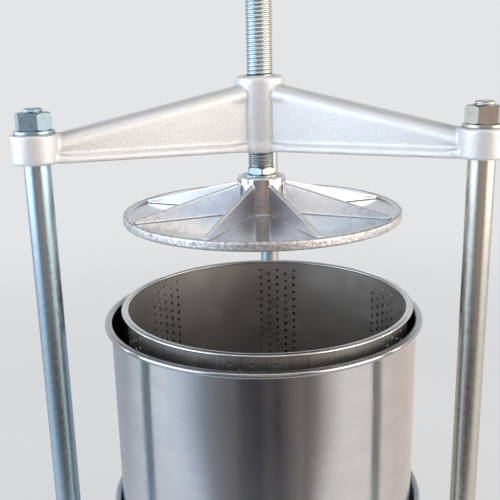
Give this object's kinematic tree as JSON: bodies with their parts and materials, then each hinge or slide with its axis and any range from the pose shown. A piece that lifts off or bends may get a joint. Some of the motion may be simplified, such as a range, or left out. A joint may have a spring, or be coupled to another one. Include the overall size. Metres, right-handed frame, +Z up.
{
  "type": "fruit press",
  "caption": "Spindle fruit press: a screw in a yoke on posts drives a ribbed plate down into a perforated basket that stands in a jacket and a juice tray with a spout.",
  "frame": {"origin": "on the spindle's axis, in the plane of the feet's undersides, at the centre of the three bolt holes", "axes": "+Z up along the spindle; the rear post stands on +Y and the spout points to -Y"},
  "size_m": [0.4614, 0.4218, 0.8579],
  "materials": {
    "silver_paint": "satin silver paint on a sand casting",
    "post_steel": "bright zinc-plated bar",
    "zinc_steel": "bright zinc plating",
    "black_screws": "black oxide",
    "tray_paint": "smooth blue-grey enamel",
    "stainless_basket": "matt rolled stainless sheet",
    "stainless_jacket": "satin brushed stainless sheet",
    "bronze": "turned bronze",
    "cast_aluminium": "bare tumbled casting",
    "black_knob": "glossy moulded plastic"
  },
  "bodies": {
    "frame": {"post_left": "post_steel", "post_right": "post_steel", "post_rear": "post_steel", "foot_left": "silver_paint", "foot_right": "silver_paint", "foot_rear": "silver_paint", "base_frame": "silver_paint", "base_set_screws": "black_screws", "tray": "tray_paint", "tray_screws": "black_screws", "spout": "tray_paint", "drain_plate": "stainless_basket", "yoke": "silver_paint", "spindle_bush": "bronze", "bush_screw": "black_screws", "post_washers": "zinc_steel", "post_nuts": "zinc_steel"},
    "basket": {"basket": "stainless_basket"},
    "jacket": {"jacket": "stainless_jacket"},
    "thrust": {"thrust_washer": "zinc_steel"},
    "spindle": {"spindle": "zinc_steel", "thrust_nut": "zinc_steel", "end_washer": "zinc_steel", "retaining_ring": "black_screws", "spindle_head": "zinc_steel", "head_pin": "zinc_steel", "bar_screw": "black_screws", "handle_bar": "zinc_steel", "knob_left": "black_knob", "knob_right": "black_knob"},
    "press_plate": {"press_plate": "cast_aluminium"}
  },
  "joints": [
    {"name": "plate_travel", "type": "slide", "parent": "frame", "child": "thrust", "axis": [0, 0, 1], "range_m": [-0.288, 0.01]},
    {"name": "spindle_turn", "type": "hinge", "parent": "thrust", "child": "spindle", "pos_m": [0, 0, 0.6], "axis": [0, 0, 1], "range_deg": [-32390, 1110]},
    {"name": "plate_swivel", "type": "hinge", "parent": "thrust", "child": "press_plate", "pos_m": [0, 0, 0.41], "axis": [0, 0, 1], "continuous": true},
    {"name": "basket_lift", "type": "slide", "parent": "frame", "child": "basket", "axis": [0, 0, 1], "range_m": [0, 0.12]},
    {"name": "jacket_lift", "type": "slide", "parent": "frame", "child": "jacket", "axis": [0, 0, 1], "range_m": [0, 0.12]}
  ],
  "couplings": [
    {"joint": "plate_travel", "follows": "spindle_turn", "m_per_rad": 0.0005093}
  ]
}
